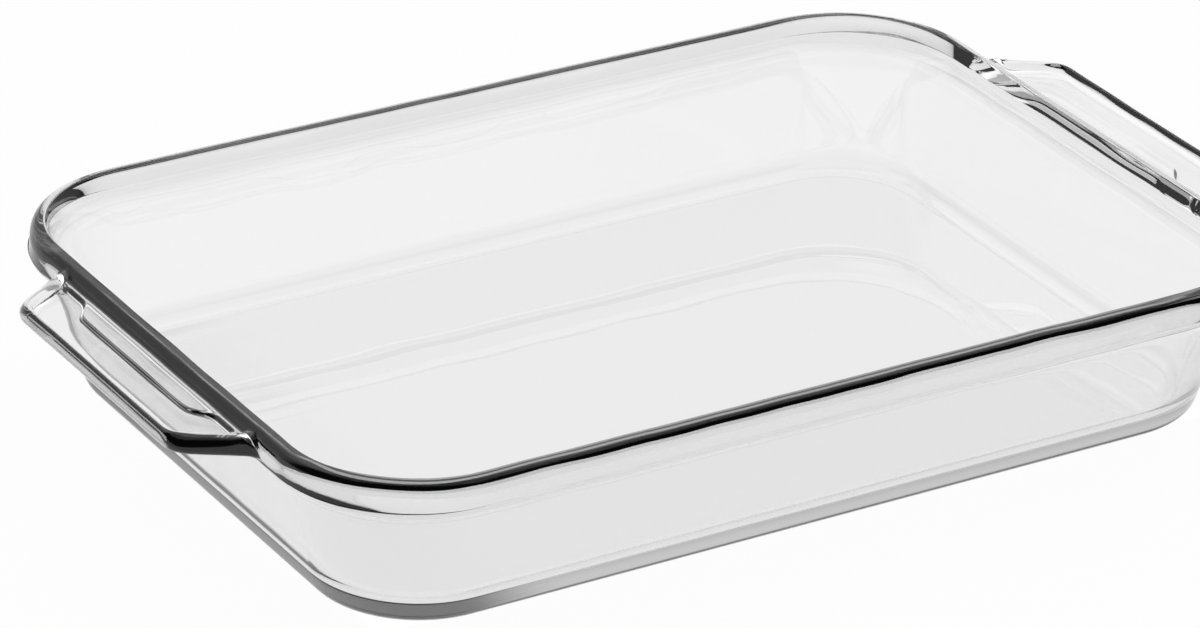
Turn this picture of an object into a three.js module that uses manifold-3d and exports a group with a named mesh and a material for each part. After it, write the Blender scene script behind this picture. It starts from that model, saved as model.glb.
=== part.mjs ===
// Rectangular pressed-glass baking pan with a thick rolled rim and a grip at each end.
// Millimetres, +Z up. The origin is the centre of the footprint, on the surface that the pan stands on.
// +X runs along the pan from the left grip to the right grip, and -Y is the front.
// The real pan is one pressing of glass. Each region of it is a solid of its own here: the floor,
// the walls with their rounded heels, the rim that stands on the walls, and the two grips.
import * as THREE from 'three';
import { mergeVertices } from 'three/addons/utils/BufferGeometryUtils.js';
import Module from 'manifold-3d';

// Driving dimensions of the pan
const RIM_LENGTH = 345; // outside the rim, end to end, without the grips
const RIM_WIDTH = 247; // outside the rim, front to back
const HEIGHT = 56.5; // table to the top of the rim
const RIM_CORNER_RADIUS = 45.5; // outside the rim, in plan
const FOOT_CORNER_RADIUS = 30; // at the outer edge of the flat underside, in plan
const RIM_THICKNESS = 7.5; // across the top of the rim
const RIM_DEPTH = 10.5; // top of the rim to the lower edge of its outer face
const RIM_UNDERCUT = 3.7; // drop of the rim's sloping underside, from its lower edge in to the wall
const RIM_INNER_ROUND = 2.5; // upper edge, towards the inside
const RIM_OUTER_ROUND = 4; // upper edge, towards the outside
const RIM_LOWER_ROUND = 2.5; // lower edge, outside
const WALL = 5; // square to the wall
const DRAFT_DEGREES = 14; // lean of the walls from upright
const FLOOR = 6; // thickness of the flat floor
const HEEL_INNER_RADIUS = 8; // between the floor and a wall, inside
const HEEL_OUTER_RADIUS = 7; // between the underside and a wall, outside

// Driving dimensions of a grip
const GRIP_REACH = 22; // beyond the rim
const GRIP_ROOT_WIDTH = 132; // where the sides meet the rim
const GRIP_TIP_WIDTH = 105; // where the sides would meet the outer edge
const GRIP_TIP_RADIUS = 11; // rounding of the two outer corners, in plan
const GRIP_ROOT_RADIUS = 14; // hollow rounding between a side and the rim, in plan
const GRIP_DROP = 2.5; // top of the rim to the top of the grip
const GRIP_DEPTH = 6.5; // top of the grip to its sole
const GRIP_EDGE_ROUND = 2; // rounding of the upper and lower edges
const LIP_WIDTH = 3; // raised lip along the grip's outer edge
const SIDE_LIP_WIDTH = 6; // raised lip along the grip's two sides
const CHANNEL_DEPTH = 2.5; // top of the lip to the bottom of the channel
const CHANNEL_CORNER_RADIUS = 6; // in plan, under the outer edge
const CHANNEL_END_RADIUS = 3; // in plan, beside the rim and round the ledge
const CHANNEL_ROOT_GAP = 1.5; // rim to the channel, at the two ends
const LEDGE_DROP = 1.3; // top of the lip to the top of the ledge
const LEDGE_REACH = 8; // raised ledge along the rim, between the ends of the channel
const LEDGE_LENGTH = 78; // along the rim

// Fineness of the curved faces
const CORNER_STEPS = 12;
const HEEL_STEPS = 6;
const ROUND_STEPS = 4;
const CURVE_SEGMENTS = 6;

// Values worked out from the driving dimensions
const DRAFT = THREE.MathUtils.degToRad(DRAFT_DEGREES);
const RIM_FACE_END = HEIGHT - RIM_DEPTH;
const RIM_SEAT = RIM_FACE_END - RIM_UNDERCUT;
const RIM_END = RIM_LENGTH / 2;
const RIM_SIDE = RIM_WIDTH / 2;

// Insets are measured inwards from the outside of the rim.
const innerWallInset = (z) => RIM_THICKNESS + (HEIGHT - z) * Math.tan(DRAFT);
const outerWallInset = (z) => innerWallInset(z) - WALL / Math.cos(DRAFT);
const HEEL_INNER_CENTRE = new THREE.Vector2(
  innerWallInset(FLOOR + HEEL_INNER_RADIUS) + HEEL_INNER_RADIUS / Math.cos(DRAFT),
  FLOOR + HEEL_INNER_RADIUS,
);
const HEEL_OUTER_CENTRE = new THREE.Vector2(
  outerWallInset(HEEL_OUTER_RADIUS) + HEEL_OUTER_RADIUS / Math.cos(DRAFT),
  HEEL_OUTER_RADIUS,
);
const FOOT_INSET = HEEL_OUTER_CENTRE.x;
const FLOOR_INSET = Math.max(HEEL_INNER_CENTRE.x, FOOT_INSET);

// Plan radius that a corner loses for each millimetre further in
const CORNER_TAPER = (RIM_CORNER_RADIUS - FOOT_CORNER_RADIUS) / FOOT_INSET;

const clearGlass = new THREE.MeshStandardMaterial({
  color: 0xe6eaea,
  roughness: 0.04,
  metalness: 0,
  transparent: true,
  opacity: 0.35,
});

const wasm = await Module();
wasm.setup();

// Sweeping a section round the pan

// A station is a place on the pan's outline: the corner (signs of X and Y) and the turn within it,
// from 0 on the end wall to a quarter turn on the long wall.
function pointAt(station, inset, z) {
  const radius = RIM_CORNER_RADIUS - CORNER_TAPER * inset;
  const centreX = RIM_END - inset - radius;
  const centreY = RIM_SIDE - inset - radius;
  return new THREE.Vector3(
    station.signX * (centreX + radius * Math.cos(station.turn)),
    station.signY * (centreY + radius * Math.sin(station.turn)),
    z,
  );
}

const ON_END = 0;
const ON_LONG_SIDE = Math.PI / 2;
const CORNERS = [
  { name: 'front_right', nextSide: 'right', signX: 1, signY: -1, from: ON_LONG_SIDE, to: ON_END },
  { name: 'back_right', nextSide: 'back', signX: 1, signY: 1, from: ON_END, to: ON_LONG_SIDE },
  { name: 'back_left', nextSide: 'left', signX: -1, signY: 1, from: ON_LONG_SIDE, to: ON_END },
  { name: 'front_left', nextSide: 'front', signX: -1, signY: -1, from: ON_END, to: ON_LONG_SIDE },
];

// The stations of one corner, in the order of a walk round the pan anticlockwise, seen from above
function cornerStations(corner) {
  const stations = [];
  for (let step = 0; step <= CORNER_STEPS; step++) {
    const turn = THREE.MathUtils.lerp(corner.from, corner.to, step / CORNER_STEPS);
    stations.push({ signX: corner.signX, signY: corner.signY, turn });
  }
  return stations;
}

// The two ends of the straight side that follows a corner
function sideStations(corner, nextCorner) {
  return [cornerStations(corner).at(-1), cornerStations(nextCorner)[0]];
}

// A closed solid: the section, anticlockwise in (inset, z), carried along the stations
function sweep(section, stations) {
  const count = section.length;
  const positions = [];
  for (const station of stations) {
    for (const { x: inset, y: z } of section) {
      positions.push(...pointAt(station, inset, z).toArray());
    }
  }
  const index = [];
  for (let row = 0; row + 1 < stations.length; row++) {
    for (let i = 0; i < count; i++) {
      const j = (i + 1) % count;
      const [a, b, c, d] = [row * count + i, row * count + j, (row + 1) * count + j, (row + 1) * count + i];
      index.push(a, b, c, a, c, d);
    }
  }
  const last = (stations.length - 1) * count;
  for (const [a, b, c] of THREE.ShapeUtils.triangulateShape(section, [])) {
    index.push(c, b, a);
    index.push(last + a, last + b, last + c);
  }
  const geometry = new THREE.BufferGeometry();
  geometry.setAttribute('position', new THREE.Float32BufferAttribute(positions, 3));
  geometry.setIndex(index);
  geometry.computeVertexNormals();
  return geometry;
}

// Points of an arc, both ends included, angles in radians from the direction of growing inset
function arc(centre, radius, from, to, steps) {
  const points = [];
  for (let step = 0; step <= steps; step++) {
    const angle = THREE.MathUtils.lerp(from, to, step / steps);
    points.push(new THREE.Vector2(
      centre.x + radius * Math.cos(angle),
      centre.y + radius * Math.sin(angle),
    ));
  }
  return points;
}

const INWARDS = 0;
const UP = Math.PI / 2;
const OUTWARDS = Math.PI;
const DOWN = 1.5 * Math.PI;

// Wall with its heel, from the edge of the floor up to the underside of the rim
function wallSection() {
  const section = [new THREE.Vector2(FLOOR_INSET, 0)];
  if (FLOOR_INSET > HEEL_INNER_CENTRE.x) {
    section.push(new THREE.Vector2(FLOOR_INSET, FLOOR));
  }
  section.push(...arc(HEEL_INNER_CENTRE, HEEL_INNER_RADIUS, DOWN, OUTWARDS + DRAFT, HEEL_STEPS));
  section.push(new THREE.Vector2(innerWallInset(RIM_SEAT), RIM_SEAT));
  section.push(new THREE.Vector2(outerWallInset(RIM_SEAT), RIM_SEAT));
  section.push(...arc(HEEL_OUTER_CENTRE, HEEL_OUTER_RADIUS, OUTWARDS + DRAFT, DOWN, HEEL_STEPS));
  return section;
}

// Rim: a rounded bar that stands on the wall and overhangs it on the outside, with a sloping underside
function rimSection() {
  const innerCentre = new THREE.Vector2(
    innerWallInset(HEIGHT - RIM_INNER_ROUND) - RIM_INNER_ROUND / Math.cos(DRAFT),
    HEIGHT - RIM_INNER_ROUND,
  );
  const outerCentre = new THREE.Vector2(RIM_OUTER_ROUND, HEIGHT - RIM_OUTER_ROUND);
  const lowerTurn = Math.atan2(outerWallInset(RIM_SEAT), RIM_UNDERCUT);
  const lowerCentre = new THREE.Vector2(
    RIM_LOWER_ROUND,
    RIM_FACE_END + RIM_LOWER_ROUND * Math.tan(lowerTurn / 2),
  );
  return [
    new THREE.Vector2(innerWallInset(RIM_SEAT), RIM_SEAT),
    ...arc(innerCentre, RIM_INNER_ROUND, INWARDS + DRAFT, UP, ROUND_STEPS),
    ...arc(outerCentre, RIM_OUTER_ROUND, UP, OUTWARDS, ROUND_STEPS),
    ...arc(lowerCentre, RIM_LOWER_ROUND, OUTWARDS, OUTWARDS + lowerTurn, ROUND_STEPS),
    new THREE.Vector2(outerWallInset(RIM_SEAT), RIM_SEAT),
  ];
}

function floorGeometry() {
  const outline = CORNERS.flatMap(cornerStations).map((station) => {
    const { x, y } = pointAt(station, FLOOR_INSET, 0);
    return new THREE.Vector2(x, y);
  });
  return new THREE.ExtrudeGeometry(new THREE.Shape(outline), { depth: FLOOR, bevelEnabled: false });
}

// Grips

// A closed outline through corners [x, y, radius], each rounded by an arc that touches both its edges
function roundedOutline(corners) {
  const shape = new THREE.Shape();
  corners.forEach(([x, y, radius], i) => {
    const corner = new THREE.Vector2(x, y);
    const before = corners.at(i - 1);
    const after = corners[(i + 1) % corners.length];
    const back = new THREE.Vector2(before[0] - x, before[1] - y).normalize();
    const ahead = new THREE.Vector2(after[0] - x, after[1] - y).normalize();
    const half = Math.acos(THREE.MathUtils.clamp(back.dot(ahead), -1, 1)) / 2;
    const start = corner.clone().addScaledVector(back, radius / Math.tan(half));
    const inwards = back.clone().add(ahead).normalize();
    const centre = corner.clone().addScaledVector(inwards, radius / Math.sin(half));
    const end = corner.clone().addScaledVector(ahead, radius / Math.tan(half));
    if (i === 0) {
      shape.moveTo(start.x, start.y);
    } else {
      shape.lineTo(start.x, start.y);
    }
    if (radius > 0) {
      const leftTurn = back.cross(ahead) < 0;
      const from = start.clone().sub(centre).angle();
      const to = end.clone().sub(centre).angle();
      shape.absarc(centre.x, centre.y, radius, from, to, !leftTurn);
    }
  });
  shape.closePath();
  return shape;
}

// Half-width of a grip at a distance beyond the rim, for its sides moved in by some amount
const SIDE_SLOPE = (GRIP_ROOT_WIDTH - GRIP_TIP_WIDTH) / 2 / GRIP_REACH;
function gripHalfWidth(reach, movedIn) {
  return GRIP_ROOT_WIDTH / 2 - SIDE_SLOPE * reach - movedIn * Math.hypot(1, SIDE_SLOPE);
}

const GRIP_TOP = HEIGHT - GRIP_DROP;
const GRIP_SOLE = GRIP_TOP - GRIP_DEPTH;

// The outline starts inside the rim, which trims it, so that its sides flare out into the rim.
function gripOutline() {
  const flareReach = -GRIP_EDGE_ROUND;
  const hiddenReach = flareReach - GRIP_ROOT_RADIUS;
  const root = gripHalfWidth(flareReach, 0);
  const tip = gripHalfWidth(GRIP_REACH, 0);
  const halfCorner = (Math.PI / 2 + Math.atan(SIDE_SLOPE)) / 2;
  const flare = root + GRIP_ROOT_RADIUS / Math.tan(halfCorner) + GRIP_EDGE_ROUND;
  return roundedOutline([
    [RIM_END + hiddenReach, -flare, 0],
    [RIM_END + flareReach, -flare, 0],
    [RIM_END + flareReach, -root, GRIP_ROOT_RADIUS],
    [RIM_END + GRIP_REACH, -tip, GRIP_TIP_RADIUS],
    [RIM_END + GRIP_REACH, tip, GRIP_TIP_RADIUS],
    [RIM_END + flareReach, root, GRIP_ROOT_RADIUS],
    [RIM_END + flareReach, flare, 0],
    [RIM_END + hiddenReach, flare, 0],
  ]);
}

// Between the lips the top of the grip is sunk to the height of the ledge, as far in as the rim.
function panelOutline() {
  const hiddenReach = -RIM_OUTER_ROUND;
  const reach = GRIP_REACH - LIP_WIDTH;
  const root = gripHalfWidth(hiddenReach, SIDE_LIP_WIDTH);
  const tip = gripHalfWidth(reach, SIDE_LIP_WIDTH);
  return roundedOutline([
    [RIM_END + hiddenReach, -root, 0],
    [RIM_END + reach, -tip, CHANNEL_CORNER_RADIUS],
    [RIM_END + reach, tip, CHANNEL_CORNER_RADIUS],
    [RIM_END + hiddenReach, root, 0],
  ]);
}

// The channel bends round the ledge: its two ends reach in to the rim.
function channelOutline() {
  const reach = GRIP_REACH - LIP_WIDTH;
  const tip = gripHalfWidth(reach, SIDE_LIP_WIDTH);
  const root = gripHalfWidth(CHANNEL_ROOT_GAP, SIDE_LIP_WIDTH);
  const ledge = LEDGE_LENGTH / 2;
  const endRadius = Math.min(CHANNEL_END_RADIUS, (LEDGE_REACH - CHANNEL_ROOT_GAP) / 2);
  return roundedOutline([
    [RIM_END + CHANNEL_ROOT_GAP, -root, endRadius],
    [RIM_END + reach, -tip, CHANNEL_CORNER_RADIUS],
    [RIM_END + reach, tip, CHANNEL_CORNER_RADIUS],
    [RIM_END + CHANNEL_ROOT_GAP, root, endRadius],
    [RIM_END + CHANNEL_ROOT_GAP, ledge, endRadius],
    [RIM_END + LEDGE_REACH, ledge, endRadius],
    [RIM_END + LEDGE_REACH, -ledge, endRadius],
    [RIM_END + CHANNEL_ROOT_GAP, -ledge, endRadius],
  ]);
}

function solidOf(geometry) {
  const bare = geometry.clone();
  bare.deleteAttribute('normal');
  bare.deleteAttribute('uv');
  const merged = mergeVertices(bare);
  return new wasm.Manifold(new wasm.Mesh({
    numProp: 3,
    vertProperties: merged.attributes.position.array,
    triVerts: new Uint32Array(merged.index.array),
  }));
}

function geometryOf(solid) {
  const { vertProperties, triVerts } = solid.getMesh();
  const geometry = new THREE.BufferGeometry();
  geometry.setAttribute('position', new THREE.BufferAttribute(vertProperties, 3));
  geometry.setIndex(new THREE.BufferAttribute(triVerts, 1));
  geometry.computeVertexNormals();
  return geometry;
}

// The rim on the right-hand end, which trims the root of the grip
function rightRimSolid() {
  const [frontRight, backRight] = CORNERS;
  const runs = [cornerStations(frontRight), sideStations(frontRight, backRight), cornerStations(backRight)];
  return wasm.Manifold.union(runs.map((stations) => solidOf(sweep(rimSection(), stations))));
}

// A cutter that sinks an outline to a depth below the top of the grip
function sunkCutter(outline, depth) {
  const geometry = new THREE.ExtrudeGeometry(outline, {
    depth: 2 * CHANNEL_DEPTH,
    bevelEnabled: false,
    curveSegments: CURVE_SEGMENTS,
  });
  return solidOf(geometry.translate(0, 0, GRIP_TOP - depth));
}

// The right-hand grip: a rounded slab, sunk between its lips, fitted to the rounded face of the rim
function gripGeometry() {
  const slab = new THREE.ExtrudeGeometry(gripOutline(), {
    depth: GRIP_DEPTH - 2 * GRIP_EDGE_ROUND,
    bevelThickness: GRIP_EDGE_ROUND,
    bevelSize: GRIP_EDGE_ROUND,
    bevelOffset: -GRIP_EDGE_ROUND,
    bevelSegments: ROUND_STEPS,
    curveSegments: CURVE_SEGMENTS,
  }).translate(0, 0, GRIP_SOLE + GRIP_EDGE_ROUND);
  const panel = sunkCutter(panelOutline(), LEDGE_DROP);
  const channel = sunkCutter(channelOutline(), CHANNEL_DEPTH);
  const insideRim = new THREE.BoxGeometry(RIM_END, 2 * RIM_WIDTH, 2 * HEIGHT);
  insideRim.translate(RIM_END / 2 - RIM_OUTER_ROUND, 0, HEIGHT);
  const sunk = solidOf(slab).subtract(panel).subtract(channel);
  return geometryOf(sunk.subtract(solidOf(insideRim)).subtract(rightRimSolid()));
}

// Assembly

const pan = new THREE.Group();

function addPiece(name, geometry) {
  const piece = new THREE.Mesh(geometry, clearGlass.clone());
  piece.name = name;
  pan.add(piece);
  return piece;
}

addPiece('floor_panel', floorGeometry());

CORNERS.forEach((corner, i) => {
  const nextCorner = CORNERS[(i + 1) % CORNERS.length];
  const side = sideStations(corner, nextCorner);
  addPiece(`${corner.name}_corner`, sweep(wallSection(), cornerStations(corner)));
  addPiece(`${corner.nextSide}_wall`, sweep(wallSection(), side));
  addPiece(`${corner.name}_rim_corner`, sweep(rimSection(), cornerStations(corner)));
  addPiece(`${corner.nextSide}_rim`, sweep(rimSection(), side));
});

addPiece('right_grip', gripGeometry());
addPiece('left_grip', gripGeometry()).rotation.z = Math.PI;

export default pan;
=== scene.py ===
# %% [markdown]
# A clear glass baking pan, dressed for a product picture.
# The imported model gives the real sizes. This lesson builds one smooth sheet of glass over
# those solids, gives it a pressed-glass finish and lights it the way glassware is lit: on
# white paper, in a pale room with one dark side, so that the edges of the glass draw
# themselves dark.

# %% Load the frame
import math

import bmesh
import bpy
import numpy as np
from mathutils import Matrix, Vector, noise


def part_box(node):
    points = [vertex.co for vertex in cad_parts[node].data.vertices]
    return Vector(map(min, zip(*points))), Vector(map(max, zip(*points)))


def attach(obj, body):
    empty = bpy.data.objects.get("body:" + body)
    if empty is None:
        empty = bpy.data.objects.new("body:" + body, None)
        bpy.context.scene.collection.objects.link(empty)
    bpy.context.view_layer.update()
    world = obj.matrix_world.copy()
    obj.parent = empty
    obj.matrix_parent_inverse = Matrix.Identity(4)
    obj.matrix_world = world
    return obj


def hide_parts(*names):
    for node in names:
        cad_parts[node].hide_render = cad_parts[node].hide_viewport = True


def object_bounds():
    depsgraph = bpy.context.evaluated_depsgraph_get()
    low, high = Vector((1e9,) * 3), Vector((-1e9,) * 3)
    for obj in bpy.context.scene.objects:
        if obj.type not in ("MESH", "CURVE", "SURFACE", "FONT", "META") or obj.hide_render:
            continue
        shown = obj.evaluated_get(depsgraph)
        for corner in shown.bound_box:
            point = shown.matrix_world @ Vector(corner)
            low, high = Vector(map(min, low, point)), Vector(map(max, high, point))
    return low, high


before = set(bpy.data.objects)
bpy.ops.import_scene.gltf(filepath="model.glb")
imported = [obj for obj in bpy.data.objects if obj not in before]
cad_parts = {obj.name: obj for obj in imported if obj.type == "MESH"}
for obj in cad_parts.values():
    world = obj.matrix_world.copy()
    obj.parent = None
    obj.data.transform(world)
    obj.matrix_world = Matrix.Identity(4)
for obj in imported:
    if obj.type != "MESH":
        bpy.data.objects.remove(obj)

CAD_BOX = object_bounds()
scene = bpy.context.scene
scene.view_settings.view_transform = "Standard"
print("frame:", len(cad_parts), "nodes, box", [round(v, 4) for corner in CAD_BOX for v in corner])

# %% [markdown]
# The camera comes first, because every later choice is judged through it. A long lens
# far away keeps the two long edges of the pan almost parallel. The camera is placed by
# three angles, a distance, and the pixel where the centre of the rim falls in the picture.

# %% Directions of the camera
CAMERA_AZIMUTH = math.radians(-31.22)
CAMERA_ELEVATION = math.radians(26.27)
CAMERA_ROLL = math.radians(1.26)


def camera_axes():
    """Right, up and backwards directions of the camera."""
    level_share = math.cos(CAMERA_ELEVATION)
    back = Vector((math.sin(CAMERA_AZIMUTH) * level_share, -math.cos(CAMERA_AZIMUTH) * level_share,
                   math.sin(CAMERA_ELEVATION)))
    level = Vector((math.cos(CAMERA_AZIMUTH), math.sin(CAMERA_AZIMUTH), 0))
    upright = back.cross(level)
    right = level * math.cos(CAMERA_ROLL) + upright * math.sin(CAMERA_ROLL)
    return right, back.cross(right), back


print("camera looks along", [round(-v, 3) for v in camera_axes()[2]])

# %% Camera
PICTURE_WIDTH, PICTURE_HEIGHT = 1200, 628
RIM_CENTRE_PIXEL = (643.65, 227.97)
CAMERA_DISTANCE = 2.023
CAMERA_REACH = 50.0
FOCAL_PIXELS = 6423.4
SENSOR_WIDTH = 36.0


def place_camera(target):
    """A camera that shows the target, the centre of the rim, at its pixel in the picture."""
    right, up, back = camera_axes()
    per_pixel = CAMERA_DISTANCE / FOCAL_PIXELS
    across = (RIM_CENTRE_PIXEL[0] - PICTURE_WIDTH / 2) * per_pixel
    above = (PICTURE_HEIGHT / 2 - RIM_CENTRE_PIXEL[1]) * per_pixel
    data = bpy.data.cameras.new("camera")
    data.sensor_width = SENSOR_WIDTH
    data.lens = SENSOR_WIDTH * FOCAL_PIXELS / PICTURE_WIDTH
    data.clip_end = CAMERA_REACH
    camera = bpy.data.objects.new("camera", data)
    turn = Matrix((right, up, back)).transposed().to_4x4()
    place = target + back * CAMERA_DISTANCE - right * across - up * above
    camera.matrix_world = Matrix.Translation(place) @ turn
    scene.collection.objects.link(camera)
    scene.camera = camera
    return camera


camera = place_camera(Vector((0, 0, CAD_BOX[1].z)))
print("camera:", round(camera.data.lens, 1), "mm lens at", [round(v, 3) for v in camera.location])

# %% [markdown]
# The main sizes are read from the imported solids, so that the glass follows them. What the
# boxes of the solids can't tell, such as thicknesses and the lean of the walls, is named
# here in millimetres. An inset is a distance inwards from the outside of the rim.

# %% Sizes of the solids
MM = 0.001
rim_low, rim_high = (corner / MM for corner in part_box("front_rim"))
end_low, end_high = (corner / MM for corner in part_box("right_rim"))
floor_low, floor_high = (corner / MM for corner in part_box("floor_panel"))
grip_low, grip_high = (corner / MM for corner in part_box("right_grip"))

RIM_END = end_high.x
RIM_SIDE = -rim_low.y
RIM_TOP = rim_high.z
RIM_CORNER_RADIUS = RIM_END - rim_high.x
FLOOR_TOP = floor_high.z
FLOOR_UNDERSIDE = floor_low.z
print(f"rim {2 * RIM_END:.1f} x {2 * RIM_SIDE:.1f} mm, corner {RIM_CORNER_RADIUS:.1f} mm")
print(f"height {RIM_TOP:.1f} mm, floor {FLOOR_TOP - FLOOR_UNDERSIDE:.1f} mm thick")

# %% Lean and thickness of the walls
RIM_THICKNESS = 7.5
WALL = 5.0
DRAFT_DEGREES = 14.0
DRAFT = math.radians(DRAFT_DEGREES)


def inner_wall(z):
    """Inset of the inside of the wall at a height."""
    return RIM_THICKNESS + (RIM_TOP - z) * math.tan(DRAFT)


def outer_wall(z):
    """Inset of the outside of the wall at a height."""
    return inner_wall(z) - WALL / math.cos(DRAFT)


print("inset of the wall at rim and floor:", [round(inner_wall(z), 1) for z in (RIM_TOP, FLOOR_TOP)], "mm")

# %% [markdown]
# A pan is a section carried round a rounded rectangle. The section is drawn as a chain of
# control points (inset, height). It could be a free curve, but plain arcs and straight
# lines are what a mould is cut with. A subdivision surface will round the chain off later,
# so an arc only needs a point every 10 to 15 degrees.

# %% Arcs and chains
def arc(centre, radius, start, end, steps):
    """Points of an arc from one angle to another, in degrees, both ends included."""
    angles = np.radians(np.linspace(start, end, steps + 1))
    return [(centre[0] + radius * math.cos(a), centre[1] + radius * math.sin(a)) for a in angles]


def rounded_chain(corners, steps):
    """A chain of points through corners (x, y, radius), with an arc at each inner corner."""
    points = [tuple(corners[0][:2])]
    for before, here, after in zip(corners, corners[1:], corners[2:]):
        corner, radius = Vector(here[:2]), here[2]
        back = (Vector(before[:2]) - corner).normalized()
        ahead = (Vector(after[:2]) - corner).normalized()
        half = back.angle(ahead) / 2
        centre = corner + (back + ahead).normalized() * radius / math.sin(half)
        start = corner + back * radius / math.tan(half) - centre
        sweep = start.angle_signed(corner + ahead * radius / math.tan(half) - centre)
        points += [tuple(centre + Matrix.Rotation(-sweep * k / steps, 2) @ start) for k in range(steps + 1)]
    points.append(tuple(corners[-1][:2]))
    return points


SQUARE_CORNER = ((0, 9, 0), (0, 0, 3), (9, 0, 0))
print("a square corner in 4 steps:", len(rounded_chain(SQUARE_CORNER, 4)), "points")

# %% [markdown]
# The inside starts on the floor, turns up the heel and climbs the leaning wall. Near the top
# it flares outwards on a large radius, as the mould opens there, and turns over a tight
# inner edge to the crest of the rim.

# %% Inside of the section
FLOOR_RINGS = (100, 82, 66, 55)
FLOOR_EDGE = 2.0
HEEL_INNER_RADIUS = 8.0
HEEL_STEPS = 7
INNER_WALL_HEIGHTS = (22, 29, 36, 42)
FLARE_START = 45.0
FLARE_RADIUS = 38.0
FLARE_STEPS = 5
RIM_INNER_ROUND = 1.0
ROUND_STEPS = 6


def rim_inside():
    """The wall flares gently towards the rim, then turns over its inner edge."""
    reach = FLARE_RADIUS - RIM_INNER_ROUND
    edge_z = RIM_TOP - RIM_INNER_ROUND
    lean = math.asin((math.sin(DRAFT) * FLARE_RADIUS + edge_z - FLARE_START) / reach)
    wall_line = RIM_THICKNESS * math.cos(DRAFT) + RIM_TOP * math.sin(DRAFT)
    flare_in = FLARE_RADIUS - reach * math.cos(lean - DRAFT)
    edge_inset = (wall_line - flare_in - edge_z * math.sin(DRAFT)) / math.cos(DRAFT)
    flare = (edge_inset - reach * math.cos(lean), edge_z - reach * math.sin(lean))
    turn = math.degrees(lean)
    points = arc(flare, FLARE_RADIUS, DRAFT_DEGREES, turn, FLARE_STEPS)
    return points + arc((edge_inset, edge_z), RIM_INNER_ROUND, turn, 90, ROUND_STEPS)[1:]


def inner_section():
    """From the middle of the floor up the inside of the wall to the crest of the rim."""
    heel_z = FLOOR_TOP + HEEL_INNER_RADIUS
    heel = (inner_wall(heel_z) + HEEL_INNER_RADIUS / math.cos(DRAFT), heel_z)
    points = [(inset, FLOOR_TOP) for inset in (*FLOOR_RINGS, heel[0] + FLOOR_EDGE)]
    points += arc(heel, HEEL_INNER_RADIUS, 270, 180 + DRAFT_DEGREES, HEEL_STEPS)
    points += [(inner_wall(z), z) for z in INNER_WALL_HEIGHTS]
    return points + rim_inside()


print("inside:", len(inner_section()), "points, crest at inset", round(rim_inside()[-1][0], 2))

# %% [markdown]
# The outside begins below the face of the rim. The rim's underside slopes down to the wall
# and runs into it in a soft hollow. Then the wall goes down to the outer heel and on to the
# flat underside. The rings under the foot stand close together near the heel, so that the
# underside stays flat when the cage is rounded off.

# %% Outside of the section
RIM_FACE_DEPTH = 10.5
RIM_FACE_END = RIM_TOP - RIM_FACE_DEPTH
RIM_LOWER_ROUND = 2.5
UNDERSIDE_DROP = 0.6
UNDERSIDE_END = rim_low.z - UNDERSIDE_DROP
UNDER_RIM_HOLLOW = 8.0
HOLLOW_WALL_END = 20
EDGE_STEPS = 4
OUTER_WALL_HEIGHTS = (36, 31, 26, 21, 15)
HEEL_OUTER_RADIUS = 7.0
FOOT_INSET = outer_wall(HEEL_OUTER_RADIUS) + HEEL_OUTER_RADIUS / math.cos(DRAFT)
FOOT_RINGS = (0.7, 1.5, 2.5, 4, 6, 8, 11, 15, 20, 26)


def outer_section():
    """From the lower edge of the rim along its sloping underside, down to the middle of the underside."""
    corners = [(0, RIM_TOP, 0), (0, RIM_FACE_END, RIM_LOWER_ROUND),
               (outer_wall(UNDERSIDE_END), UNDERSIDE_END, UNDER_RIM_HOLLOW),
               (outer_wall(HOLLOW_WALL_END), HOLLOW_WALL_END, 0)]
    points = rounded_chain(corners, EDGE_STEPS)[1:-1]
    points += [(outer_wall(z), z) for z in OUTER_WALL_HEIGHTS]
    heel = (FOOT_INSET, HEEL_OUTER_RADIUS)
    points += arc(heel, HEEL_OUTER_RADIUS, 180 + DRAFT_DEGREES, 270, HEEL_STEPS)
    points += [(FOOT_INSET + further, FLOOR_UNDERSIDE) for further in FOOT_RINGS]
    points += [(inset, FLOOR_UNDERSIDE) for inset in reversed(FLOOR_RINGS)]
    return points


print("outside:", len(outer_section()), "points, foot at inset", round(FOOT_INSET, 2))
print("underside of the rim: from", round(RIM_FACE_END, 1), "to", round(UNDERSIDE_END, 1), "mm high")

# %% [markdown]
# The grips are pressed out of the rim, so they belong to the same sheet of glass. They could be
# blocks joined on with a Boolean, but every seam shows in clear glass. Seen from above, a grip
# is a trapezoid with rounded outer corners and hollow roots. For each place along the end of
# the pan we need how far the grip reaches there, for its outline and for the outline of the
# channel: that is where the lip, the channel and the ledge run.

# %% Outline of a grip
GRIP_REACH = grip_high.x - RIM_END
GRIP_ROOT_WIDTH = 132.0
GRIP_TIP_WIDTH = 105.0
GRIP_TIP_RADIUS = 11.0
GRIP_ROOT_RADIUS = 14.0
ROOT_LINE = -2.0
ROOT_RUN = 40.0
OUTLINE_STEPS = 10
SIDE_SLOPE = (GRIP_ROOT_WIDTH - GRIP_TIP_WIDTH) / 2 / GRIP_REACH


def grip_reach(along, edge_in, side_in, tip_radius):
    """How far a grip reaches beyond the rim, at a distance along the end from its middle."""
    reach = GRIP_REACH - edge_in
    spread = side_in * math.hypot(1, SIDE_SLOPE)
    root = GRIP_ROOT_WIDTH / 2 - SIDE_SLOPE * ROOT_LINE - spread
    tip = GRIP_ROOT_WIDTH / 2 - SIDE_SLOPE * reach - spread
    corners = [(0, reach, 0), (tip, reach, tip_radius), (root, ROOT_LINE, GRIP_ROOT_RADIUS),
               (root + ROOT_RUN, ROOT_LINE, 0)]
    outline = np.array(rounded_chain(corners, OUTLINE_STEPS))
    return max(0.0, float(np.interp(abs(along), outline[:, 0], outline[:, 1])))


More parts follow.
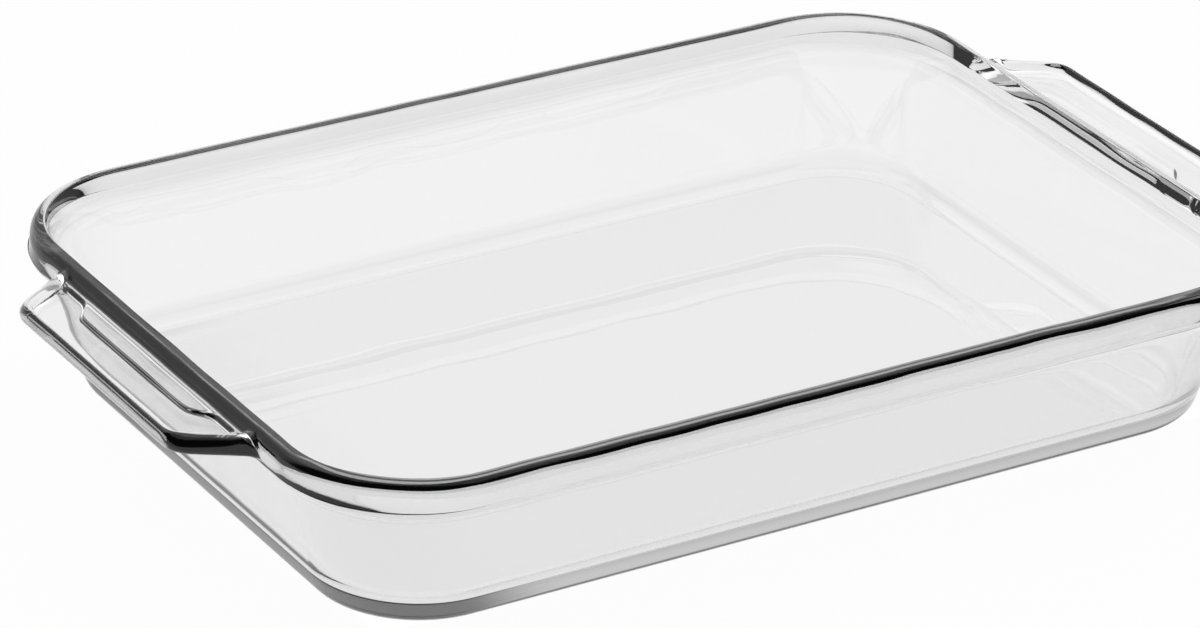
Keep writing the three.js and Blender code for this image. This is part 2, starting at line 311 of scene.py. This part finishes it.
def outline_reach(along, moved_in):
    """How far the outline of a grip reaches, moved in by the same distance all round."""
    return grip_reach(along, moved_in, moved_in, GRIP_TIP_RADIUS - moved_in)


print("grip reach:", [round(outline_reach(y, 0), 1) for y in (0, 45, 50, 55, 60, 65, 70)])

# %% [markdown]
# On top of a grip a ledge runs along the rim, sunk a little below the lip. A small step leads
# from it down into the channel, and the lip closes the channel on the outside. Towards the
# two ends of the grip the ledge narrows and the channel runs out, so that nothing is left of
# them at the root.

# %% Ledge and channel
LIP_WIDTH = 3.4
SIDE_LIP_WIDTH = 6.0
CHANNEL_CORNER_RADIUS = 6.0
CHANNEL_DEPTH = 2.5
CHANNEL_ROOT_GAP = 2.2
CHANNEL_FADE = 4.0
LEDGE_DROP = 1.3
LEDGE_REACH = 8.0
LEDGE_HALF_LENGTH = 39.0
LEDGE_END_BLEND = 6.0
LEDGE_CLEARANCE = 2.0
PANEL_FADE = 3.0


def smooth(x):
    """A soft step from 0 to 1."""
    x = min(max(x, 0.0), 1.0)
    return x * x * (3 - 2 * x)


def ledge_reach(along):
    """Where the ledge ends and the step down to the channel begins."""
    blend = smooth((abs(along) - LEDGE_HALF_LENGTH) / (2 * LEDGE_END_BLEND) + 0.5)
    return LEDGE_REACH + (CHANNEL_ROOT_GAP - LEDGE_REACH) * blend


def channel_reach(along):
    """Where the outer wall of the channel runs."""
    return grip_reach(along, LIP_WIDTH, SIDE_LIP_WIDTH, CHANNEL_CORNER_RADIUS)


def ledge_depth(along):
    """How far the ledge is sunk below the top of the lip."""
    return smooth(channel_reach(along) / PANEL_FADE) * LEDGE_DROP


def channel_depth(along):
    """How far the channel is sunk below the top of the lip."""
    room = channel_reach(along) - ledge_reach(along) - LEDGE_CLEARANCE
    return ledge_depth(along) + smooth(room / CHANNEL_FADE) * (CHANNEL_DEPTH - LEDGE_DROP)


print("channel depth:", [round(channel_depth(y), 2) for y in (0, 40, 45, 50, 55)])

# %% [markdown]
# The section of a grip is a longer face for the rim: out along the ledge, down into the
# channel, up over the rounded lip, down the outer edge and back along the sole. The curves
# of the step and of the lip are short tables: how far across, and what share of the drop.

# %% Top of a grip
GRIP_TOP = grip_high.z
LEDGE_ROOT = ((0.1, 0.15), (0.8, 0.0))
LEDGE_STEP = 1.5
LEDGE_STEP_CURVE = ((-0.9, 0.0), (-0.5, 0.04), (-0.15, 0.3), (0.15, 0.7), (0.5, 0.96), (0.9, 1.0))
CHANNEL_WALL = ((0.9, 1.0), (0.25, 0.85))
INNER_LIP_CURVE = ((0.06, 0.45), (0.18, 0.12), (0.38, 0.0))
OUTER_LIP_CURVE = ((0.62, 0.12), (0.86, 0.42), (1.0, 1.0))
LIP_ROUND = 1.6
SIDE_LIP_ROUND = 3.4
SIDE_LIP_FROM = 44.0
SIDE_LIP_BLEND = 8.0


def lip_rounding(along):
    """How deep the rounding of the lip is: more at the two sides of a grip."""
    side = smooth((abs(along) - SIDE_LIP_FROM) / SIDE_LIP_BLEND)
    return LIP_ROUND + (SIDE_LIP_ROUND - LIP_ROUND) * side


def grip_top(along):
    """A grip's ledge, channel and lip as (reach, height) points."""
    edge, lip_round = outline_reach(along, 0), lip_rounding(along)
    ledge, channel = ledge_reach(along), channel_reach(along)
    depth, ledge_top = channel_depth(along), GRIP_TOP - ledge_depth(along)
    step = depth - ledge_depth(along)
    lip = edge - channel
    points = [(reach, ledge_top + rise) for reach, rise in LEDGE_ROOT]
    points += [(ledge + out * LEDGE_STEP, ledge_top - down * step) for out, down in LEDGE_STEP_CURVE]
    points += [((ledge + channel) / 2, GRIP_TOP - depth)]
    points += [(channel - before, GRIP_TOP - down * depth) for before, down in CHANNEL_WALL]
    points += [(channel + across * lip, GRIP_TOP - down * depth) for across, down in INNER_LIP_CURVE]
    points += [(channel + across * lip, GRIP_TOP - down * lip_round) for across, down in OUTER_LIP_CURVE]
    return points


TOP_POINTS = len(grip_top(0))
print("top of a grip:", TOP_POINTS, "points")

# %% Edge and sole of a grip
GRIP_SOLE = grip_low.z
SOLE_ROUND = 2.0
SOLE_TURN = 0.25 * SOLE_ROUND
SOLE_ROOT = ((0.6, 0.0), (0.0, 0.4))


def grip_under(along):
    """A grip's outer edge below the lip, and its sole, as (reach, height) points."""
    edge, edge_end = outline_reach(along, 0), GRIP_SOLE + SOLE_ROUND
    points = [(edge, (GRIP_TOP - lip_rounding(along) + edge_end) / 2), (edge, edge_end)]
    points += [(outline_reach(along, SOLE_TURN), GRIP_SOLE + SOLE_TURN)]
    points += [(outline_reach(along, SOLE_ROUND), GRIP_SOLE), (edge / 2, GRIP_SOLE)]
    points += [(reach, GRIP_SOLE - drop) for reach, drop in SOLE_ROOT]
    return points


UNDER_POINTS = len(grip_under(0))
print("edge and sole:", UNDER_POINTS, "points")

# %% [markdown]
# Away from the grips the same points lie on the plain face of the rim, so the whole pan keeps
# one number of points in its section and can be woven as one grid. Where a grip runs out, its
# section is squeezed in order, so that no point passes its neighbour, and blended into the
# plain face.

# %% Face of the rim, with and without a grip
RIM_OUTER_ROUND = 4.8
FACE_LOWER_MARGIN = 1.2
FACE_STEPS = TOP_POINTS + UNDER_POINTS
ROOT_BLEND = 6.0
ROOT_FILLET = 0.7
LEAST_STEP = 0.1
ROUND_CENTRE = (RIM_OUTER_ROUND, RIM_TOP - RIM_OUTER_ROUND)


def rim_rounding(end):
    """The outer rounding of the rim, from its crest down to an angle in degrees."""
    return arc(ROUND_CENTRE, RIM_OUTER_ROUND, 90, end, ROUND_STEPS)


def plain_face():
    """The outer rounding and the upright face of the rim, where no grip stands."""
    heights = np.linspace(ROUND_CENTRE[1], RIM_FACE_END + FACE_LOWER_MARGIN, FACE_STEPS + 1)[1:]
    return rim_rounding(180) + [(0.0, z) for z in heights]


def grip_face(along):
    """The outer rounding of the rim and a grip's section as (inset, height) points."""
    edge = outline_reach(along, 0)
    rise = GRIP_TOP - ledge_depth(along) + ROOT_FILLET - ROUND_CENTRE[1]
    leave = 180 - math.degrees(math.asin(rise / RIM_OUTER_ROUND))
    points = [(-inset, z) for inset, z in rim_rounding(leave)] + grip_top(along) + grip_under(along)
    first, last = ROUND_STEPS + 1, ROUND_STEPS + TOP_POINTS
    step = min(LEAST_STEP, edge / (last - first + 2))
    blend = smooth(edge / ROOT_BLEND)
    face = []
    for k, ((reach, z), (plain_inset, plain_z)) in enumerate(zip(points, plain_face())):
        if first <= k <= last:
            reach = min(max(reach, (k - first) * step), edge - (last - k) * step)
        face.append((plain_inset * (1 - blend) - reach * blend, plain_z * (1 - blend) + z * blend))
    return face


print("face with a grip:", len(grip_face(0)), "points, without:", len(plain_face()))

# %% [markdown]
# Stations are the places round the pan where the section stands. The corners take evenly
# turned stations and the long sides evenly spaced ones. The ends take most of theirs at the
# two sides of a grip, which changes from one millimetre to the next there. The corner radius
# shrinks towards the foot.

# %% Places round the pan
FOOT_CORNER_RADIUS = 30.0
LEAST_RADIUS = 3.0
CORNER_TAPER = (RIM_CORNER_RADIUS - FOOT_CORNER_RADIUS) / FOOT_INSET


def corner_radius(inset):
    """Radius of the corner at an inset: full at the rim, less towards the foot."""
    return max(RIM_CORNER_RADIUS - CORNER_TAPER * max(inset, 0), LEAST_RADIUS)


def corner_point(sign_x, sign_y, turn):
    """Place in a corner, at an angle of turn, for any inset."""
    def at(inset):
        radius = corner_radius(inset)
        return (sign_x * (RIM_END - inset - radius + radius * math.cos(turn)),
                sign_y * (RIM_SIDE - inset - radius + radius * math.sin(turn)))
    return at


def end_point(sign_x, share):
    """Place on an end, at a share of its half length, for any inset."""
    def at(inset):
        return sign_x * (RIM_END - inset), share * (RIM_SIDE - max(inset, 0) - corner_radius(inset))
    return at


def side_point(sign_y, share):
    """Place on a long side, at a share of its half length, for any inset."""
    def at(inset):
        return share * (RIM_END - inset - corner_radius(inset)), sign_y * (RIM_SIDE - inset)
    return at


print("corner radius:", [round(corner_radius(inset), 1) for inset in (0, 10, 20, 50)])

# %% Stations round the pan
CORNER_STEPS = 16
SIDE_STEPS = 48
MIDDLE_PLACES = np.linspace(0, 34, 6)
GRIP_SIDE_PLACES = np.linspace(36, 76.5, 32)
END_PLACES = np.concatenate([MIDDLE_PLACES, GRIP_SIDE_PLACES])


def corner_stations(sign_x, sign_y, turns):
    """Stations of a corner, each with its share of the corner: 0 at the two ends, 1 in the middle."""
    return [(corner_point(sign_x, sign_y, turn), None, abs(math.sin(2 * turn))) for turn in turns]


def make_stations():
    """Anticlockwise from above: (place, distance along an end or None, share of the corner)."""
    straight = RIM_SIDE - RIM_CORNER_RADIUS
    along = np.concatenate([-END_PLACES[:0:-1], END_PLACES])
    turns = np.linspace(0, math.pi / 2, CORNER_STEPS + 1)
    shares = np.linspace(-1, 1, SIDE_STEPS + 1)[1:-1]
    stations = [(end_point(1, y / straight), y, 0) for y in along]
    stations += corner_stations(1, 1, turns)
    stations += [(side_point(1, -share), None, 0) for share in shares]
    stations += corner_stations(-1, 1, turns[::-1])
    stations += [(end_point(-1, -y / straight), y, 0) for y in along]
    stations += corner_stations(-1, -1, turns)
    stations += [(side_point(-1, share), None, 0) for share in shares]
    stations += corner_stations(1, -1, turns[::-1])
    return stations


stations = make_stations()
print("stations:", len(stations))

# %% [markdown]
# Hot glass draws in at the corners of the mould, where it cools last, so the face of the rim
# is a little hollow there. It is no more than a millimetre, but it bends the dark lines in
# the rim, and they are what the eye reads.

# %% Drawn-in corners
HOLLOW_DEPTH = 1.0
HOLLOW_SHARPNESS = 1.5


def hollow(z, corner):
    """How far the face of the rim is drawn in, most in the middle of a corner."""
    share = max(0.0, (z - RIM_FACE_END) / RIM_FACE_DEPTH)
    return HOLLOW_DEPTH * corner ** HOLLOW_SHARPNESS * math.sin(math.pi * share)


print("corner: face drawn in", round(hollow((RIM_FACE_END + RIM_TOP) / 2, 1), 2), "mm")

# %% [markdown]
# A lathe can't turn a rectangle, so the section is woven round the stations instead: a row of
# points for every station, a quad between each pair of neighbours, and a ladder of quads to
# close the floor and the underside. The result is a watertight cage, which glass needs: light
# has to know when it enters and when it leaves.

# %% Weave the cage
def close_with_ladder(mesh, ring):
    """Fill a ring with rungs between its front and back halves, from the middle of the right end."""
    middle = len(END_PLACES) - 1
    ring = ring[middle:] + ring[:middle]
    half = len(ring) // 2
    for k in range(half):
        rung = [ring[k], ring[k + 1], ring[-k - 1], ring[-k]]
        mesh.faces.new(list(dict.fromkeys(rung)))


def weave_pan():
    """The closed cage of the pan, one row of points for each station."""
    inside, outside, plain = inner_section(), outer_section(), plain_face()
    mesh = bmesh.new()
    rows = []
    for place, along, corner in stations:
        face = plain if along is None else grip_face(along)
        drawn_in = [(inset + hollow(z, corner), z) for inset, z in face]
        row = []
        for inset, z in inside + drawn_in + outside:
            x, y = place(inset)
            row.append(mesh.verts.new((x * MM, y * MM, z * MM)))
        rows.append(row)
    for row, following in zip(rows, rows[1:] + rows[:1]):
        for k in range(len(row) - 1):
            mesh.faces.new((row[k], following[k], following[k + 1], row[k + 1]))
    close_with_ladder(mesh, [row[0] for row in rows])
    close_with_ladder(mesh, [row[-1] for row in rows])
    bmesh.ops.recalc_face_normals(mesh, faces=mesh.faces)
    data = bpy.data.meshes.new("glass_pan")
    mesh.to_mesh(data)
    mesh.free()
    data.shade_smooth()
    pan = bpy.data.objects.new("glass_pan", data)
    scene.collection.objects.link(pan)
    return pan


pan = weave_pan()
print("cage:", len(pan.data.vertices), "points,", len(pan.data.polygons), "faces")

# %% [markdown]
# The flame that finishes a pressed pan softens every edge a little. One level of subdivision
# does the same to the cage, all over and evenly. It is applied, so that the finished mesh
# becomes the pan's own mesh.

# %% Round the cage
def apply_modifiers(piece):
    """Makes what the modifiers show into the piece's own mesh."""
    evaluated = piece.evaluated_get(bpy.context.evaluated_depsgraph_get())
    finished = bpy.data.meshes.new_from_object(evaluated)
    piece.modifiers.clear()
    piece.data = finished
    finished.name = piece.name


rounding = pan.modifiers.new("rounding", "SUBSURF")
rounding.levels = rounding.render_levels = 1
apply_modifiers(pan)
pan.data.shade_smooth()
print("glass:", len(pan.data.polygons), "faces")

# %% [markdown]
# Pressed glass is never quite even. As it cools in the mould its skin keeps slow waves, about
# a tenth of a millimetre deep in the walls and up to four tenths in the thick rim. They are
# what makes the lines in a glass rim swim. A bump map would be quicker, but these waves are
# real shapes in the mesh. The waves only go inwards, so the pan doesn't grow, and the underside
# stays flat.

# %% Waves in the skin
WAVE_DEPTH = 0.15
RIM_WAVE_DEPTH = 0.45
WAVE_LENGTH = 22.0
RIM_WAVES_FROM = 38.0
RIM_WAVES_BLEND = 8.0
STILL_HEIGHT = 10.0


def make_waves(piece):
    """Presses slow waves into the skin of a piece, and says how deep the deepest is."""
    mesh = piece.data
    normals = [vertex.normal.copy() for vertex in mesh.vertices]
    deepest = 0.0
    for vertex, normal in zip(mesh.vertices, normals):
        swing = noise.noise(vertex.co / (WAVE_LENGTH * MM))
        z = vertex.co.z / MM
        most = WAVE_DEPTH + (RIM_WAVE_DEPTH - WAVE_DEPTH) * smooth((z - RIM_WAVES_FROM) / RIM_WAVES_BLEND)
        depth = most * (0.5 + 0.5 * swing) * smooth(z / STILL_HEIGHT)
        vertex.co -= normal * depth * MM
        deepest = max(deepest, depth)
    mesh.update()
    return deepest


print("deepest wave:", round(make_waves(pan), 3), "mm")

# %% [markdown]
# Clear glass is a Principled shader with full transmission, and it bends light with an index
# of about 1.5. A grey absorption in its volume makes thick glass a little darker than thin
# glass. It is made strong enough to be painted shade too: it darkens the white paper seen
# through the pan, as the pan's own shadow darkens a lit table under it. In the rim, light
# runs to and fro between the skins. Cutting the mirrored bounces short keeps those places
# dark, as they are in a thick edge that faces a dark room.
# It is a setting of the picture and not of the glass, so the exported pan doesn't carry it.

# %% Bounces of light
GLOSSY_BOUNCES = 3
MOST_BOUNCES = 24
scene.cycles.glossy_bounces = GLOSSY_BOUNCES
scene.cycles.transmission_bounces = MOST_BOUNCES
scene.cycles.max_bounces = MOST_BOUNCES
print("bounces:", GLOSSY_BOUNCES, "mirrored,", MOST_BOUNCES, "in all")

# %% Glass
GLASS_INDEX = 1.5
# The grey and its density are partly the glass's own absorption and partly painted shade: they darken the
# paper seen through the pan as the pan's shadow would.
GLASS_GREY_AND_PAINTED_SHADE = (0.85, 0.85, 0.85, 1)
GLASS_DENSITY_AND_PAINTED_SHADE = 125.0


def make_glass():
    """Clear glass with polished skins, and a grey body that is partly painted shade of the paper under it.
    """
    material = bpy.data.materials.new("clear_glass")
    material.use_nodes = True
    shader = material.node_tree.nodes["Principled BSDF"]
    shader.inputs["Base Color"].default_value = (1.0, 1.0, 1.0, 1)
    shader.inputs["Transmission Weight"].default_value = 1.0
    shader.inputs["IOR"].default_value = GLASS_INDEX
    shader.inputs["Roughness"].default_value = 0.0
    body = material.node_tree.nodes.new("ShaderNodeVolumeAbsorption")
    body.inputs["Color"].default_value = GLASS_GREY_AND_PAINTED_SHADE
    body.inputs["Density"].default_value = GLASS_DENSITY_AND_PAINTED_SHADE
    output = material.node_tree.nodes["Material Output"]
    material.node_tree.links.new(body.outputs[0], output.inputs["Volume"])
    return material


glass = make_glass()
pan.data.materials.clear()
pan.data.materials.append(glass)
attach(pan, "root")
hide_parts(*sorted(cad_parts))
print("glass on", pan.name)

# %% [markdown]
# The paper and the room are both made of a few soft steps, joined by simple arithmetic, so
# neither needs an image.
# Blender's Map Range and Math nodes do that, and these helpers keep the wiring out of the way.

# %% Node helpers
RAMP_SOCKETS = ("From Min", "From Max", "To Min", "To Max")


def add_step(nodes, links, value, start, end, low, high):
    """A soft step of a value, from low at the start to high at the end."""
    ramp = nodes.new("ShaderNodeMapRange")
    ramp.interpolation_type = "SMOOTHSTEP"
    for socket, number in zip(RAMP_SOCKETS, (start, end, low, high)):
        ramp.inputs[socket].default_value = number
    links.new(value, ramp.inputs["Value"])
    return ramp.outputs[0]


def add_math(nodes, links, operation, first, second):
    """Joins two values, or a value and a number."""
    node = nodes.new("ShaderNodeMath")
    node.operation = operation
    for socket, value in zip(node.inputs, (first, second)):
        if isinstance(value, float):
            socket.default_value = value
        else:
            links.new(value, socket)
    return node.outputs[0]


def add_mix(nodes, links, share, first, second):
    """Mixes two shaders: the first alone at a share of 0, the second alone at 1."""
    mix = nodes.new("ShaderNodeMixShader")
    links.new(share, mix.inputs["Fac"])
    links.new(first.outputs[0], mix.inputs[1])
    links.new(second.outputs[0], mix.inputs[2])
    return mix


print("node helpers: step, math and mix")

# %% [markdown]
# The table is a large plain sheet, a fiftieth of a millimetre above the underside, so it
# touches the foot. Glass on paper has no air to mirror in, and looks pale. But a pan never
# stands quite flat, so the touch is nowhere complete, and towards its front and its left end
# it fades away. A share of transparency stands for that, in a rectangle the size of the foot.
# Where the touch is gone, light stays in the glass, and the heel draws a dark line round the
# base. The distances are measured inwards from the outside of the rim.

# %% Where the paper touches the glass
TOUCH_FROM_FRONT = (22.0, 50.0)
TOUCH_FROM_LEFT = (55.0, 95.0)
TOUCH_MOST = 0.85


def touching(nodes, links):
    """How much of the paper is there: all of it round the foot, and under the foot a share that fades."""
    place = nodes.new("ShaderNodeNewGeometry")
    split = nodes.new("ShaderNodeSeparateXYZ")
    links.new(place.outputs["Position"], split.inputs[0])
    x, y = split.outputs["X"], split.outputs["Y"]
    front_places = [(inset - RIM_SIDE) * MM for inset in TOUCH_FROM_FRONT]
    left_places = [(inset - RIM_END) * MM for inset in TOUCH_FROM_LEFT]
    front = add_step(nodes, links, y, *front_places, 0.0, 1.0)
    left = add_step(nodes, links, x, *left_places, 0.0, TOUCH_MOST)
    share = add_math(nodes, links, "MULTIPLY", front, left)
    for value, half in ((x, RIM_END), (y, RIM_SIDE)):
        foot_edge = (half - FOOT_INSET) * MM
        for operation, limit in (("LESS_THAN", -foot_edge), ("GREATER_THAN", foot_edge)):
            outside = add_math(nodes, links, operation, value, limit)
            share = add_math(nodes, links, "MAXIMUM", share, outside)
    return share


print("touch fades in", TOUCH_FROM_FRONT, "mm from the front and", TOUCH_FROM_LEFT, "mm from the left")

# %% [markdown]
# To the camera, and in the glass, the sheet is white paper lit evenly. A small share of it is
# left to the lamp, so that the pan keeps a soft shadow.

# %% Paper
PAPER_SHARE = 0.97
PAPER_COLOUR = (0.9, 0.9, 0.9, 1)
EVEN_WHITE = (1, 1, 1, 1)


def seen_directly(nodes, links):
    """1 for rays that the eye follows: from the camera, mirrored or through glass."""
    path = nodes.new("ShaderNodeLightPath")
    direct = add_math(nodes, links, "MAXIMUM", path.outputs["Is Camera Ray"], path.outputs["Is Glossy Ray"])
    return add_math(nodes, links, "MAXIMUM", direct, path.outputs["Is Transmission Ray"])


def make_paper():
    """White paper, evenly lit to the eye, and partly absent under the foot."""
    material = bpy.data.materials.new("white_paper")
    material.use_nodes = True
    nodes, links = material.node_tree.nodes, material.node_tree.links
    nodes.clear()
    output = nodes.new("ShaderNodeOutputMaterial")
    lit = nodes.new("ShaderNodeBsdfDiffuse")
    lit.inputs["Color"].default_value = PAPER_COLOUR
    even = nodes.new("ShaderNodeEmission")
    even.inputs["Color"].default_value = EVEN_WHITE
    share = add_math(nodes, links, "MULTIPLY", seen_directly(nodes, links), PAPER_SHARE)
    paper = add_mix(nodes, links, share, lit, even)
    absent = nodes.new("ShaderNodeBsdfTransparent")
    touch = add_mix(nodes, links, touching(nodes, links), absent, paper)
    links.new(touch.outputs[0], output.inputs["Surface"])
    return material


paper = make_paper()
print("paper:", len(paper.node_tree.nodes), "nodes")

# %% Table
TABLE_SIZE = 12.0
TABLE_HEIGHT = 0.00002


def make_table():
    """The sheet that the pan stands on."""
    data = bpy.data.meshes.new("table")
    half = TABLE_SIZE / 2
    corners = [(-half, -half), (half, -half), (half, half), (-half, half)]
    data.from_pydata([(x, y, TABLE_HEIGHT) for x, y in corners], [], [(0, 1, 2, 3)])
    data.materials.append(paper)
    table = bpy.data.objects.new("table", data)
    scene.collection.objects.link(table)
    return table


make_table()
print("table:", TABLE_SIZE, "m wide")

# %% [markdown]
# Glass shows the room around it. Here the room is white low down, as a paper sweep is, with a
# bright softbox high up behind the pan, a dimmer gap below that, and darkness on the near
# side. The pale part keeps the walls clear, and the dark part draws the edges of the glass.
# The room stands still: its directions are fixed, and another view looks at other parts of it.

# %% Room
DARK_SIDE = 0.05
HORIZON_BAND = (0.10, 0.25)
SOFTBOX_SIDES = (0.0, 0.3)
SOFTBOX_LOWER_EDGE = (0.50, 0.62)
BELOW_SOFTBOX = 0.7
BEHIND_PAN = (-math.sin(CAMERA_AZIMUTH), math.cos(CAMERA_AZIMUTH), 0)


def make_room():
    """The light from each direction: low white, dark near side, softbox high up behind."""
    world = bpy.data.worlds.new("room")
    scene.world = world
    world.use_nodes = True
    nodes, links = world.node_tree.nodes, world.node_tree.links
    place = nodes.new("ShaderNodeTexCoord")
    split = nodes.new("ShaderNodeSeparateXYZ")
    links.new(place.outputs["Generated"], split.inputs[0])
    behind = nodes.new("ShaderNodeVectorMath")
    behind.operation = "DOT_PRODUCT"
    links.new(place.outputs["Generated"], behind.inputs[0])
    behind.inputs[1].default_value = BEHIND_PAN
    height = split.outputs["Z"]
    horizon = add_step(nodes, links, height, *HORIZON_BAND, 1.0, DARK_SIDE)
    sides = add_step(nodes, links, behind.outputs["Value"], *SOFTBOX_SIDES, 0.0, 1.0)
    lower_edge = add_step(nodes, links, height, *SOFTBOX_LOWER_EDGE, BELOW_SOFTBOX, 1.0)
    softbox = add_math(nodes, links, "MULTIPLY", sides, lower_edge)
    light = add_math(nodes, links, "MAXIMUM", horizon, softbox)
    links.new(light, nodes["Background"].inputs["Color"])
    return world


make_room()
print("room: dark side", DARK_SIDE, "and", BELOW_SOFTBOX, "below the softbox")

# %% [markdown]
# One very large lamp overhead lights the paper. A small one would draw hard white lines in
# the rounded heels, because a curved skin always finds an angle that mirrors it.

# %% Lamp
LAMP_PLACE = Vector((0.3, 0.5, 1.8))
LAMP_SIZE = 3.0
LAMP_POWER = 15


def make_lamp():
    """A large square lamp that faces the pan."""
    data = bpy.data.lights.new("overhead_lamp", "AREA")
    data.shape = "RECTANGLE"
    data.size = data.size_y = LAMP_SIZE
    data.energy = LAMP_POWER
    lamp = bpy.data.objects.new("overhead_lamp", data)
    lamp.location = LAMP_PLACE
    lamp.rotation_euler = (-LAMP_PLACE).to_track_quat("-Z", "Y").to_euler()
    scene.collection.objects.link(lamp)
    return lamp


print("lamp:", make_lamp().name, LAMP_SIZE, "m wide,", LAMP_POWER, "W")
